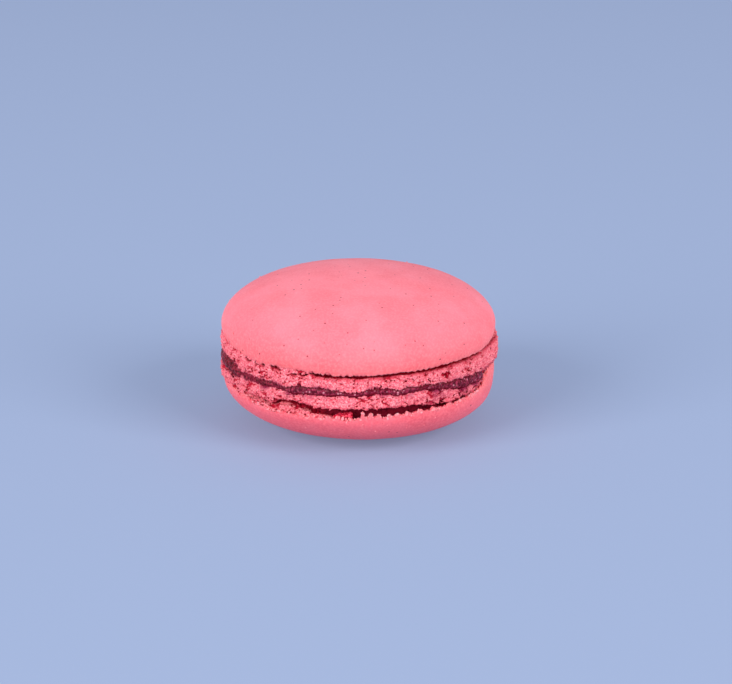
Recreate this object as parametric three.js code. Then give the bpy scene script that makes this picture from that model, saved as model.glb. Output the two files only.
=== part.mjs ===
// A French macaron: two baked almond meringue shells, each with its ruffled foot, pressed
// together on a thin layer of dark fruit jam. The lower shell lies upside down on its dome.
//
// Millimetres, +Z up, the front towards -Y. The origin is on the surface that the macaron
// rests on, under the middle of its box. Angles round the macaron start at the front and
// grow towards the right hand side (+X).

import * as THREE from 'three';

// Driving dimensions
const shellRadius = 22.5;            // the upper dome at its widest
const lowerShellRadius = 22.3;       // the lower dome at its widest
const lowerShellShift = 0.05;        // the lower shell sits this far off centre along X
const domeFullness = 2.4;            // exponent of the dome's section: 2 is an ellipse

// Heights above the resting surface
const lowerEquatorHeight = 7.7;      // where the lower crust is widest, just under its lip
const lipHeight = 7.95;              // broken edge of the lower crust
const lowerFootHeight = 9.2;         // where the lower foot starts, above the open gap
const jamBottomHeight = 11.0;
const jamTopHeight = 12.0;
const rimHeight = 14.75;             // underside of the upper dome's rim
const upperEquatorHeight = 16.6;     // where the upper dome is widest
const totalHeight = 25.05;

// Depths measured inwards from the widest radius
const crackDepth = 1.7;              // recess between the rim and the upper foot
const gapDepth = 3.2;                // recess between the lip and the lower foot
const contactDepth = 2.8;            // where the feet leave the jam and curl apart
const footInset = 0.15;              // mean place of the feet behind the domes
const jamInset = 0.45;               // mean place of the jam's edge behind the domes

// Small sizes
const restingRadius = 7.5;           // flat spot that the lower dome rests on
const rimRounding = 0.6;             // radius of the rim's rolled edge
const crackOpening = 0.3;            // height of the crack above the upper foot
const lipThickness = 0.9;            // broken crust at the lip of the lower shell
const lipRounding = 0.15;
const ruffleDepth = 0.16;            // frilled texture of the feet
const meanCurl = 0.55;               // how far the feet curl away from the jam
const curlDepth = 1.0;               // depth behind a foot's face where its curl is half done
const jamClearance = 0.3;            // between the jam's bulging edge and the curled feet
const jamRounding = 0.25;            // height of the jam's rolled edges
const jamRoll = 0.5;                 // depth of the jam's rolled edges

// Section of a foot from its curled edge to its crust: depth behind its face, share of its height
const footSection = [[0.25, 0], [0, 0.45], [0.25, 0.85]];

// Waves round the macaron: lobes, size and the angle of the first crest in degrees
const rimWaves = [[1, 0.16, 150], [2, 0.17, 125], [3, 0.1, 25]];
const footWaves = [[1, 0.1, 90], [2, 0.32, 85], [3, 0.08, 20]];
const lowerFootWaves = [[1, 0.22, 270], [2, 0.24, 80], [3, 0.06, 50]];
const curlWaves = [[1, 0.28, 285], [2, 0.1, 200], [5, 0.06, 40]];
const gapWaves = [[1, 0.2, 300], [2, 0.16, 60]];
const lipWaves = [[1, 0.12, 60], [3, 0.14, 25], [7, 0.08, 10]];
const jamWaves = [[1, 0.25, 275], [3, 0.1, 100], [6, 0.08, 15]];
const ruffleWaves = [[13, 0.5, 0], [19, 0.5, 7]];

const cornersPerRing = 80;
const domeRings = 9;

/** Sum of the waves at an angle round the macaron, in radians. */
function wavesAt(waves, angle) {
  return waves.reduce(
    (sum, [lobes, size, crest]) =>
      sum + size * Math.cos(lobes * (angle - THREE.MathUtils.degToRad(crest))),
    0,
  );
}

/** A ring whose radius and height are numbers or functions of the angle. */
function ring(radius, height) {
  const asFunction = (value) => (typeof value === 'function' ? value : () => value);
  return { radius: asFunction(radius), height: asFunction(height) };
}

/** One closed body through rings listed from its lower pole, outwards, up and in again. */
function solidThroughRings(rings, lowerPole, upperPole) {
  const positions = [0, 0, lowerPole];
  for (const { radius, height } of rings) {
    for (let corner = 0; corner < cornersPerRing; corner += 1) {
      const angle = (corner / cornersPerRing) * 2 * Math.PI;
      const distance = radius(angle);
      positions.push(distance * Math.sin(angle), -distance * Math.cos(angle), height(angle));
    }
  }
  positions.push(0, 0, upperPole);

  const upperPoleIndex = positions.length / 3 - 1;
  const cornerIndex = (ringNumber, corner) =>
    1 + ringNumber * cornersPerRing + (corner % cornersPerRing);
  const faces = [];
  for (let corner = 0; corner < cornersPerRing; corner += 1) {
    faces.push(0, cornerIndex(0, corner + 1), cornerIndex(0, corner));
    for (let ringNumber = 0; ringNumber < rings.length - 1; ringNumber += 1) {
      const a = cornerIndex(ringNumber, corner);
      const b = cornerIndex(ringNumber, corner + 1);
      const c = cornerIndex(ringNumber + 1, corner + 1);
      const d = cornerIndex(ringNumber + 1, corner);
      faces.push(a, b, c, a, c, d);
    }
    const last = rings.length - 1;
    faces.push(upperPoleIndex, cornerIndex(last, corner), cornerIndex(last, corner + 1));
  }

  const geometry = new THREE.BufferGeometry();
  geometry.setAttribute('position', new THREE.Float32BufferAttribute(positions, 3));
  geometry.setIndex(faces);
  geometry.computeVertexNormals();
  return geometry;
}

/** How far a dome has risen at a given part of its radius: 1 at the pole, 0 at the equator. */
function domeRise(radiusShare) {
  return Math.sqrt(1 - radiusShare ** domeFullness);
}

/** Share of the radius at each ring of a dome, close together near the equator. */
function domeShares(innerShare) {
  const start = Math.asin(innerShare);
  return Array.from({ length: domeRings }, (_, index) =>
    Math.sin(start + ((Math.PI / 2 - start) * index) / domeRings));
}

/** Frilled radius of a foot, blended in by an amount from 0 to 1. */
function footRadius(shell, waves, depth, frill) {
  return (angle) =>
    shell - footInset - depth
    + frill * (wavesAt(waves, angle) + ruffleDepth * wavesAt(ruffleWaves, angle));
}

/** How far the feet have curled away from the jam at their outer edges. */
function curlAt(angle) {
  return meanCurl + wavesAt(curlWaves, angle);
}

/**
 * Rings of a foot from the jam to its crust: where it leaves the jam, half way round its curl
 * and up its frilled face. side is 1 for the foot above the jam and -1 for the one below.
 */
function footRings(shell, waves, jamHeight, crustEdge, side) {
  const curledEdge = (angle) => jamHeight + side * curlAt(angle);
  const face = footSection.map(([depth, share]) =>
    ring(footRadius(shell, waves, depth, 1), (angle) =>
      THREE.MathUtils.lerp(curledEdge(angle), crustEdge(angle), share)));
  return [
    ring(shell - contactDepth, jamHeight),
    ring(footRadius(shell, waves, curlDepth, 0.5), (angle) =>
      THREE.MathUtils.lerp(jamHeight, curledEdge(angle), 0.5)),
    ...face,
  ];
}

/** Upper shell: flat underside, frilled foot, crack, rolled rim and dome. */
function upperShellGeometry() {
  const rim = (angle) => rimHeight + wavesAt(rimWaves, angle);
  const footTop = (angle) => rim(angle) - crackOpening;
  const rise = totalHeight - upperEquatorHeight;
  const dome = domeShares(0).slice(1).reverse().map((share) =>
    ring(shellRadius * share, upperEquatorHeight + rise * domeRise(share)));
  const rings = [
    ...footRings(shellRadius, footWaves, jamTopHeight, footTop, 1),
    ring(shellRadius - crackDepth, footTop),
    ring(shellRadius - crackDepth, rim),
    ring(shellRadius - rimRounding, rim),
    ring(shellRadius - 0.2 * rimRounding, (angle) => rim(angle) + 0.5 * rimRounding),
    ring(shellRadius, upperEquatorHeight),
    ...dome,
  ];
  return solidThroughRings(rings, jamTopHeight, totalHeight);
}

/** Lower shell: resting spot, dome, broken lip, open gap, frilled foot and flat top. */
function lowerShellGeometry() {
  const restingShare = restingRadius / lowerShellRadius;
  const depthOfDome = lowerEquatorHeight / domeRise(restingShare);
  const lip = (angle) => lipHeight + wavesAt(lipWaves, angle);
  const footBottom = (angle) => lowerFootHeight + wavesAt(gapWaves, angle);
  const dome = domeShares(restingShare).slice(1).map((share) =>
    ring(lowerShellRadius * share, lowerEquatorHeight - depthOfDome * domeRise(share)));
  const rings = [
    ring(restingRadius, 0),
    ...dome,
    ring(lowerShellRadius, lowerEquatorHeight),
    ring(lowerShellRadius - lipRounding, lip),
    ring(lowerShellRadius - lipThickness, lip),
    ring(lowerShellRadius - gapDepth, lip),
    ring(lowerShellRadius - gapDepth, footBottom),
    ...footRings(lowerShellRadius, lowerFootWaves, jamBottomHeight, footBottom, -1).reverse(),
  ];
  return solidThroughRings(rings, 0, jamBottomHeight);
}

/** Jam: a thin disc with flat faces and an uneven edge that bulges between the feet. */
function jamGeometry() {
  const edge = (angle) => shellRadius - jamInset + wavesAt(jamWaves, angle);
  const innerEdge = (angle) => edge(angle) - jamRoll;
  const bulge = (angle) => Math.max(0, 0.6 * curlAt(angle) - jamClearance);
  const bottom = (angle) => jamBottomHeight - bulge(angle);
  const top = (angle) => jamTopHeight + bulge(angle);
  const rings = [
    ring(shellRadius - contactDepth, jamBottomHeight),
    ring(innerEdge, bottom),
    ring(edge, (angle) => bottom(angle) + jamRounding),
    ring(edge, (angle) => top(angle) - jamRounding),
    ring(innerEdge, top),
    ring(shellRadius - contactDepth, jamTopHeight),
  ];
  return solidThroughRings(rings, jamBottomHeight, jamTopHeight);
}

/** Matte, fine grained meringue crust, dyed raspberry pink. */
function meringueMaterial(color) {
  return new THREE.MeshStandardMaterial({ color, roughness: 0.7, metalness: 0 });
}

/** Dark, wet fruit jam. */
function jamMaterial() {
  return new THREE.MeshStandardMaterial({ color: 0x5a1a30, roughness: 0.3, metalness: 0 });
}

function namedMesh(name, geometry, material, shiftX = 0) {
  const mesh = new THREE.Mesh(geometry, material);
  mesh.name = name;
  mesh.position.x = shiftX;
  return mesh;
}

const macaron = new THREE.Group();
macaron.add(
  namedMesh('lower_shell', lowerShellGeometry(), meringueMaterial(0xe87389), lowerShellShift),
  namedMesh('jam_filling', jamGeometry(), jamMaterial()),
  namedMesh('upper_shell', upperShellGeometry(), meringueMaterial(0xf98c98)),
);

// The origin stands under the middle of the box that holds the whole macaron.
const middle = new THREE.Box3().setFromObject(macaron).getCenter(new THREE.Vector3());
macaron.position.set(-middle.x, -middle.y, 0);

export default macaron;
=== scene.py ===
"""A French macaron: two dyed meringue shells with torn foam feet, pressed together on dark jam.

Each shell is made as it bakes. Its smooth skin is turned from a section, and the foam that rose
under it and tore open is grown as a porous solid inside a ring-shaped volume. The jam is grown the
same way without bubbles. Sizes are in millimetres until a piece's last step, heights are above the
surface the macaron lies on, and angles are in degrees from the front towards the right.
"""

import math
import random
from functools import partial, partialmethod
from types import SimpleNamespace

import bpy
import numpy as np
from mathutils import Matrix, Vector


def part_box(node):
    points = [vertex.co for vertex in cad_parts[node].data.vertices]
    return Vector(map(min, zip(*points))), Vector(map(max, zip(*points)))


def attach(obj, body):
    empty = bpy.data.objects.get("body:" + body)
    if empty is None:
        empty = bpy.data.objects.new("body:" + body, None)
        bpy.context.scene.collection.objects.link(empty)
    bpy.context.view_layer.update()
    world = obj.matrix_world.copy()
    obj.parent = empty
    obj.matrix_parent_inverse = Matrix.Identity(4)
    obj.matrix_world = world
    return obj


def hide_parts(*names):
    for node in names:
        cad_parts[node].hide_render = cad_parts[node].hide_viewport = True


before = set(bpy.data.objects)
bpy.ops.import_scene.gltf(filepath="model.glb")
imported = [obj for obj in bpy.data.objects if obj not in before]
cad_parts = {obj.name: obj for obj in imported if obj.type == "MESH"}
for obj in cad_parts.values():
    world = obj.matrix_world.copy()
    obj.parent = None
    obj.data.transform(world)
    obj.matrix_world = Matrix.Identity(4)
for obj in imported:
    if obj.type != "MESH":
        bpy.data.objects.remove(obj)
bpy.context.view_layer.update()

MM = 0.001

# ------------------------ sizes from the frame

upper_low, upper_high = (corner / MM for corner in map(Vector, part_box("upper_shell")))
lower_low, lower_high = (corner / MM for corner in map(Vector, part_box("lower_shell")))

UPPER_RADIUS = (upper_high.y - upper_low.y) / 2
LOWER_RADIUS = (lower_high.y - lower_low.y) / 2
JAM_TOP = upper_low.z
JAM_BOTTOM = lower_high.z
JAM_THICKNESS = JAM_TOP - JAM_BOTTOM
TOTAL_HEIGHT = upper_high.z
LOWER_SHEAR = 0.1               # how far it leans right with each step below its equator
LOWER_SHIFT = 0.05              # the lower shell sits a little to the right of the upper one

# ------------------------ sizes of the shells

DOME_FULLNESS = 2.4             # exponent of the dome's section: 2 is an ellipse
UPPER_EQUATOR = 16.6            # height where the upper dome is widest
LOWER_EQUATOR = 7.7
UPPER_CORE = 16.0               # height where the solid crust starts above the upper foam
LOWER_CORE = 6.6
RESTING_RADIUS = 7.5            # flat spot under the lower dome
RIM_TAPER = 0.25                # how far the upper crust turns in between equator and edge
LIP_TAPER = 0.06
SKIN = 0.5                      # thickness of the crust at its torn edge
FOAM_PLAY = 0.02                # between that crust and the foam inside it
LIP_LOWERED = 0.15              # the lip's crumbs and teeth reach its height, its skin stays lower
JAM_OVERLAP = 0.25              # how far the jam reaches under the feet's edges

COLUMNS = 1128                  # steps round the macaron, one voxel each
SKIN_COLUMNS = 880              # steps of the smooth crusts
WALL_STEP = 0.16                # distance between rows of a crust near its edge
EDGE_STEPS = 8                  # rows round its torn edge
DOME_STEPS = 66
ON_AXIS = 0.004                 # radius of the smallest ring, which a fan of faces closes
SAME_POINT = 0.002              # points this close are joined
LOOSE_BIT = 5.0 * COLUMNS       # fewer points than this are a loose bit of foam
TEAR_SPACING = 1.1              # between the lumps of a gap's torn edges
WANDER_SPACING = 1.5            # between the places where a gap runs higher and lower
CLUSTER_SPACING = 1.9           # between the places where clefts crowd
MOST_TRIANGLES = 190000         # of one piece
NOTHING = -9.0                  # radius of a mark, or width of a cleft, that isn't there
FAR = 99.0                      # farther out than any piece reaches

# Heights and reaches round the macaron, each a closed smooth line through a few angles.
# Edge of the upper dome's skin
UPPER_RIM = {-150: 14.75, -120: 15, -90: 15.3, -67: 15.25, -54: 14.8, -47: 14.68, -38: 14.72, -30: 14.8,
    -22: 14.7, -17: 14.58, -7: 14.5, 1: 14.5, 9: 14.6, 17: 14.72, 26: 14.75, 35: 14.83, 47: 14.95, 61: 14.9,
    70: 15.1, 85: 15.2, 110: 15, 145: 14.75, 180: 14.85}
# How far below that edge the crack under it starts
CRACK_DROP = {-150: 0, -90: 0.1, -60: 0.05, -45: 0.05, -38: 0.1, -30: 0.7, -24: 0.6, -20: 0.2, -16: -0.05,
    60: -0.1, 85: 0, 120: -0.1, 180: 0}
# Height of the crack, which is closed where it is below zero
UPPER_CRACK = {-150: 0.4, -120: 0.15, -90: -0.4, -60: -0.2, -55: -0.1, -53: 0.4, -51: 0.3, -49: -0.2,
    -47: 0.5, -45: 0, -43: 0.45, -41: -0.2, -38: 0.25, -35: 0.25, -32: -0.1, -29: 0.2, -27: 0.4, -25: 0.1,
    -23: 0.3, -20: 0.1, -18: 0.6, -13: 0.7, -8: 0.62, -3: 0.7, 1: 0.7, 5: 0.62, 12: 0.7, 20: 0.65, 28: 0.7,
    35: 0.7, 42: 0.75, 50: 0.7, 62: 0.7, 72: 0.65, 85: 0.5, 97: 0.1, 120: 0.35, 150: 0.5, 180: 0.3}
# How far the upper foot stands out from the dome's widest radius
UPPER_REACH = {-140: -0.1, -115: 0, -90: 0.1, -75: -0.05, -60: -0.05, -40: -0.1, -20: -0.27, 0: -0.45,
    20: -0.5, 35: -0.6, 50: -0.5, 65: -0.35, 76: -0.05, 84: 0.35, 92: 0.4, 100: 0.2, 115: -0.2, 140: -0.3,
    180: -0.3}
# How far the foam climbs over the skin's torn edge
UPPER_COVER = {-150: 0.1, -90: 0.3, -45: 0.3, -25: 0.28, -14: 0, 60: -0.05, 85: 0.15, 100: 0.25, 130: 0,
    180: 0.1}
# How ragged the torn edges and cracks are round the macaron
RAGGED = {-150: 0.7, -75: 1, -45: 1.3, -20: 1.3, -8: 1.1, 5: 0.9, 60: 0.7, 75: 0.7, 95: 1, 130: 0.6,
    180: 0.8}
# Lower edge of the upper foot, on the jam
UPPER_EDGE = {-150: 12.1, -120: 12.4, -92: 12.45, -84: 12.6, -76: 13, -68: 12.98, -62: 12.7, -58: 11.8,
    -55: 11.9, -52: 12, -49: 11.85, -44: 12, -37: 12.1, -34: 11.85, -31: 11.6, -28: 12.05, -22: 12.1,
    -16: 12.15, -13: 12.15, -9: 11.95, -3: 11.6, 1: 11.8, 5: 12.14, 13: 12.15, 17: 11.85, 22: 12.1,
    28: 11.85, 31: 11.95, 34: 11.75, 37: 11.85, 41: 11.5, 47: 11.65, 51: 11.5, 61: 11.35, 67: 11.05,
    74: 11.1, 85: 11.1, 105: 11.6, 130: 12, 155: 12.2, 180: 11.95}
# Upper edge of the lower foot, under the jam
LOWER_EDGE = {-150: 10.85, -120: 10.8, -90: 10.7, -82: 10.7, -74: 10.6, -67: 10.5, -61: 10.6, -58: 11.35,
    -55: 10.9, -52: 11.1, -48: 11.15, -44: 10.72, -40: 10.97, -37: 11.17, -34: 11.08, -28: 10.55,
    -25: 10.75, -16: 10.85, -13: 10.75, -10: 11.05, -7: 11.1, -3: 10.88, 3: 11.15, 7: 11.4, 10: 11.25,
    13: 11.1, 15: 10.8, 22: 10.95, 28: 11.4, 31: 11.15, 36: 10.9, 41: 10.55, 44: 10.15, 47: 9.9, 51: 9.7,
    57: 9.65, 61: 9.5, 66: 9.55, 67.5: 10.4, 69: 10.85, 71: 11, 78: 11.05, 100: 11.05, 130: 10.8, 155: 11,
    180: 11.05}
# How far the lower foot stands out from the lower dome's widest radius
LOWER_REACH = {-150: 0.1, -120: 0.3, -90: 0.5, -74: 0.35, -60: 0.1, -45: -0.05, -30: -0.15, -10: -0.25,
    10: -0.25, 20: -0.35, 32: -0.6, 45: -0.55, 58: -0.4, 66: -0.35, 72: -0.25, 90: -0.3, 105: -0.3,
    130: -0.1, 180: 0}
# Lower edge of the lower foot, above the gap
GAP_TOP = {-150: 9.1, -120: 9.2, -90: 9, -60: 8.9, -52: 8.75, -46: 8.7, -42: 8.6, -39: 8.45, -36: 9.1,
    -34: 9.38, -29: 9.35, -24: 9.3, -20: 9.08, -17: 8.75, -11: 8.72, -5: 8.8, 1: 8.87, 7: 8.82, 12: 9,
    18: 8.95, 26: 8.85, 31: 8.4, 38: 8.25, 45: 8.15, 52: 8.38, 60: 8.7, 75: 9.6, 90: 9.8, 120: 9.2,
    150: 8.9, 180: 8.9}
# Foam floor of the gap at its mouth: the gap is closed where it is above the line before
GAP_FLOOR = {-150: 9.4, -120: 9.6, -90: 9.6, -62: 9.3, -56: 8.6, -51: 8.1, -46: 8.05, -42: 7.85, -39: 7.8,
    -35: 8.25, -30: 8.1, -26: 8, -23: 7.95, -17: 7.7, -13: 7.6, -10: 7.45, -4: 7.1, 5: 7, 15: 7.1, 25: 7.3,
    35: 7.45, 44: 7.4, 50: 7.6, 57: 8, 64: 8.8, 75: 10, 90: 10.5, 120: 9.5, 150: 8.3, 165: 7.8, 180: 7.8,
    -170: 8.2}
# How steeply that floor rises inwards
FLOOR_SLOPE = {-150: 0.4, -60: 0.5, -45: 0.2, -35: 0.4, -28: 0.3, -22: 0, -16: -0.2, -6: -0.2, 5: 0,
    45: 0.1, 60: 0.3, 150: 0.3}
# How far that floor stays pale before painted shade darkens it inwards
PALE_LEDGE = {-150: 0.5, -70: 0.6, -52: 0.6, -42: 0.4, -34: 0.55, -28: 0.65, -21: 0.7, -14: 0.4, -6: 0,
    40: 0, 55: 0.4, 90: 0.5, 150: 0.6}
# Torn upper edge of the lower crust
LOWER_LIP = {-150: 8, -120: 8.3, -90: 8.5, -70: 8.5, -59: 8.3, -50: 7.95, -43: 7.62, -37: 7.47, -31: 7.42,
    -24: 7.3, -17: 7.38, -11: 7.45, -5: 7.42, 0: 7.5, 9: 7.65, 15: 7.68, 22: 7.85, 28: 7.9, 36: 8.02,
    44: 8.08, 50: 8.25, 57: 8.5, 62: 8.8, 66: 9.55, 68: 10.3, 70: 10.7, 74: 10.9, 80: 10.95, 92: 10.7,
    102: 9.9, 115: 8.9, 150: 8.1, 180: 7.9}
# Broken teeth on that edge: angle, height and half width in degrees
LIP_TEETH = ((-25, 0.35, 0.8), (-19.2, 0.4, 0.8), (-13.2, 0.35, 0.8), (-8.3, 0.25, 0.7), (1.7, 1.1, 0.75),
    (5.1, 0.9, 0.7), (8.2, 0.6, 0.9), (12.6, 0.3, 0.8), (16.4, 0.35, 0.8), (20.6, 0.4, 0.7),
    (26.2, 0.35, 1.2), (32.7, 0.3, 0.9), (41.1, 0.2, 0.8), (163, 0.6, 0.8), (168.5, 0.4, 0.9),
    (181, 0.5, 0.8))
# How far the jam's edge stands out from the upper dome's widest radius
JAM_REACH = {-150: -0.2, -120: 0, -90: 0.1, -75: 0.22, -62: 0.1, -58: -0.6, -54: -0.15, -45: -0.38,
    -20: -0.48, 0: -0.58, 20: -0.62, 40: -0.7, 60: -0.55, 66: -0.5, 68: -0.9, 71: -1.2, 82: -1.2, 90: -1.1,
    105: -0.6, 130: -0.4, 150: -0.3, 180: -0.25}
# Spongy stretches of the foam behind the lip: angle, larger bubble radius and half width
SPONGY = ((-32, 0.14, 12), (-62, 0.08, 10), (38, 0.08, 12), (170, 0.12, 20))
# How much the foam is broken up by clefts, more above zero and less below
UPPER_BROKEN = {-150: 0, -90: 0, -70: 0.01, -50: 0.02, -30: 0.01, -15: 0, 0: -0.01, 20: 0, 40: -0.02,
    60: -0.02, 90: 0, 180: 0}
LOWER_BROKEN = {-150: 0, -90: 0.02, -70: 0.03, -45: 0.02, -30: 0.01, -15: 0, 0: -0.02, 15: -0.01, 28: 0.01,
    38: 0.02, 60: 0.02, 90: 0, 180: 0}
# Stretches of the lower foot that the jam has soaked: angle, strength and half width
SOAKED = ((37, 1.1, 8), (52, 0.6, 8), (-44, 0.2, 8), (-70, 0.4, 8), (150, 0.6, 15), (-140, 0.4, 12))
# Stretches of the jam painted browner, above zero, or given a painted bluish reflection, below it
JAM_BROWN_AND_SHEEN = ((-68, 0.9, 12), (-50, 0.6, 8), (-38, 0.5, 7), (69, -1, 4.5), (175, 0.7, 20))
# Rows of crumbs on the lower lip: first and last angle, and mean spacing
LIP_CRUMBS = ((-50, -24, 1.1), (-24, 62, 0.8), (120, 240, 2))
# Single crumbs on the domes: angle and height above the floor
LOWER_CRUMBS = ((-5.2, 6.84), (1.4, 6.45), (11.5, 6.15), (12.9, 5.56), (19.9, 5.29), (28.3, 5.26),
    (-24, 5.1), (33, 6.4), (6.5, 5), (-38, 6.2), (95, 6), (160, 5.8), (171, 6.6), (186, 5.2), (231, 6.3))
UPPER_CRUMBS = ((-96, 20.6), (-99, 19.3), (-64, 17.7), (-120, 21.5), (141, 19), (152, 22.4), (205, 20))
# The speck of jelly in the gap
JELLY_ANGLES = (-10.2, -2.6)
JELLY_REACH = (19.9, 21.4)
JELLY_HEIGHTS = (6.95, 7.35, 8)   # its foot, and its top at the left and at the right
JELLY_DROPS = 90
# Marks on the feet: angle, height above the floor, depth under the widest radius and radius
UPPER_DENTS = ((38.4, 13.07, -0.7, 0.3), (39.8, 13, -0.75, 0.45), (41.5, 13.02, -0.7, 0.3),
    (57, 14.2, -0.55, 0.28), (59, 14.16, -0.5, 0.24), (200, 13.3, -0.4, 0.4))
UPPER_NUBS = ((-46, 14.72, -0.05, 0.22), (88, 14.3, 0.2, 0.35))
LOWER_DENTS = ((-68, 9.6, 0.3, 0.3), (-63.5, 9, 0.1, 0.3), (53, 8.95, -0.4, 0.25))
LOWER_NUBS = ((13.8, 9.55, -0.35, 0.6), (-30.5, 10.3, -0.2, 0.5))


def all_round():
    """The angle of each column round the macaron."""
    return np.arange(COLUMNS) * 360 / COLUMNS


def closed_line(points):
    """A smooth closed line through {angle: value}, read at every column round the macaron.

    It turns level at its highest and lowest points, so it never swings past them.
    """
    angles = np.array(sorted(points), float)
    values = np.array([points[angle] for angle in sorted(points)], float)
    angles = np.concatenate([angles - 360, angles, angles + 360])
    values = np.tile(values, 3)
    steps = np.diff(values) / np.diff(angles)
    same_way = steps[1:] * steps[:-1] > 0
    level = np.where(same_way, steps[1:] + steps[:-1], 1.0)
    slopes = np.zeros(len(values))
    slopes[1:-1] = np.where(same_way, 2 * steps[1:] * steps[:-1] / level, 0.0)
    before = np.searchsorted(angles, all_round(), side="right") - 1
    span = angles[before + 1] - angles[before]
    share = (all_round() - angles[before]) / span
    return (values[before] * (1 + 2 * share) * (1 - share) ** 2
            + values[before + 1] * share ** 2 * (3 - 2 * share)
            + slopes[before] * span * share * (1 - share) ** 2
            - slopes[before + 1] * span * share ** 2 * (1 - share))


def bumps(rows):
    """A line with smooth bumps, from rows of angle, height and half width in degrees."""
    line = np.zeros(COLUMNS)
    for angle, height, half_width in rows:
        off = (all_round() - angle + 180) % 360 - 180
        line += height * np.exp(-(off / half_width) ** 2)
    return line


# ------------------------ node trees

def socket_of(value):
    """The socket behind a Field, or a node's first output. Other values stay as they are."""
    if isinstance(value, bpy.types.Node):
        return next(socket for socket in value.outputs if socket.enabled)
    return value.socket if isinstance(value, Field) else value


def add_node(tree, kind, inputs=None, **settings):
    """Adds a node, applies its settings, then links or sets its inputs."""
    node = tree.nodes.new(kind)
    for name, value in settings.items():
        setattr(node, name, value)
    for key, value in (inputs or {}).items():
        source = socket_of(value)
        if isinstance(source, bpy.types.NodeSocket):
            tree.links.new(source, node.inputs[key])
        else:
            node.inputs[key].default_value = source
    return node


class Field:
    """A number that varies over a shape. Arithmetic on it adds Math nodes to its tree."""

    def __init__(self, source):
        self.socket = socket_of(source)

    def math(self, operation, *others):
        inputs = dict(enumerate((self, *others)))
        return Field(add_node(self.socket.id_data, "ShaderNodeMath", inputs, operation=operation))

    __add__ = partialmethod(math, "ADD")
    __sub__ = partialmethod(math, "SUBTRACT")
    __mul__ = partialmethod(math, "MULTIPLY")
    __truediv__ = partialmethod(math, "DIVIDE")
    __neg__ = partialmethod(math, "MULTIPLY", -1.0)

    def __rtruediv__(self, other):
        return self.math("POWER", -1.0) * other

    def ramp(self, start, end):
        """0 at start, 1 at end, and smooth between them."""
        inputs = {"Value": self, "From Min": start, "From Max": end}
        return Field(add_node(self.socket.id_data, "ShaderNodeMapRange", inputs,
                              interpolation_type="SMOOTHSTEP"))

    def mix(self, other, share):
        """This field where share is 0, the other where it is 1."""
        return self + (other - self) * share


def start_tree(name, numbers, **kinds):
    """A geometry tree with named inputs: what adds a node to it, its inputs, and its numbers."""
    tree = bpy.data.node_groups.new(name, "GeometryNodeTree")
    for way in ("INPUT", "OUTPUT"):
        tree.interface.new_socket("Geometry", in_out=way, socket_type="NodeSocketGeometry")
    for label, kind in {**kinds, **dict.fromkeys(numbers.split(), "Float")}.items():
        tree.interface.new_socket(label, in_out="INPUT", socket_type="NodeSocket" + kind)
    start = add_node(tree, "NodeGroupInput").outputs
    size = SimpleNamespace(**{label: Field(start[label]) for label in numbers.split()})
    return partial(add_node, tree), start, size


def end_tree(add, start, geometry, mirrored=False):
    """Ends a tree: faces outwards, metres, smooth faces, real geometry and its material."""
    for kind, inputs in (("GeometryNodeFlipFaces", {"Selection": mirrored}),
                         ("GeometryNodeTransform", {"Scale": (MM, MM, MM)}),
                         ("GeometryNodeSetShadeSmooth", {}),
                         ("GeometryNodeRealizeInstances", {}),
                         ("GeometryNodeSetMaterial", {"Material": start["material"]}),
                         ("NodeGroupOutput", {})):
        geometry = add(kind, {0: geometry, **inputs})
    return geometry.id_data


def grow(name, mesh, tree, **values):
    """Runs a tree on a mesh and returns its result as an object with a plain mesh.

    An input that gets no value is zero.
    """
    piece = put(name, mesh)
    modifier = piece.modifiers.new(tree.name, "NODES")
    modifier.node_group = tree
    for item in tree.interface.items_tree:
        if item.in_out == "INPUT" and item.name in values:
            modifier[item.identifier] = values[item.name]
    make_plain(piece)
    triangles = sum(len(face.vertices) - 2 for face in piece.data.polygons)
    if triangles > MOST_TRIANGLES:
        # Small faces are joined where the piece is flattest.
        piece.modifiers.new("Thinner", "DECIMATE").ratio = MOST_TRIANGLES / triangles
        make_plain(piece)
    return piece


def put(name, data):
    """Puts a new object in the scene."""
    thing = bpy.data.objects.new(name, data)
    bpy.context.scene.collection.objects.link(thing)
    return thing


def make_plain(piece):
    """Turns what a piece's modifier makes into its mesh."""
    depsgraph = bpy.context.evaluated_depsgraph_get()
    piece.data = bpy.data.meshes.new_from_object(piece.evaluated_get(depsgraph))
    piece.modifiers.clear()
    piece.data.name = piece.name


def point_mesh(name, positions, **attributes):
    """A mesh of bare points that carries a number, or a line of numbers, at each of them."""
    mesh = bpy.data.meshes.new(name)
    mesh.vertices.add(len(positions))
    mesh.vertices.foreach_set("co", np.asarray(positions, float).ravel())
    for label, values in attributes.items():
        spread = np.zeros(len(positions)) + values
        mesh.attributes.new(label, "FLOAT", "POINT").data.foreach_set("value", spread)
    return mesh


def sampler(add, geometry, index):
    """A function that reads a named number of a point cloud at an index."""
    def read(label):
        named = add("GeometryNodeInputNamedAttribute", {"Name": label})
        return Field(add("GeometryNodeSampleIndex",
                         {"Geometry": geometry, "Value": named, "Index": index}))
    return read


def cloud(add, place, spacing, seed, detail):
    """Smooth random colours with lumps one spacing apart."""
    shrunk = add("ShaderNodeVectorMath", {0: place, "Scale": 1.0 / spacing}, operation="SCALE")
    return add("ShaderNodeTexNoise", {"Vector": shrunk, "W": seed, "Scale": 1.0, "Detail": detail},
               noise_dimensions="4D")


def lumps(add, place, spacing, seed, detail=2.0):
    """Smooth noise about zero, from about -0.5 to 0.5."""
    return Field(cloud(add, place, spacing, seed, detail)) - 0.5


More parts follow.
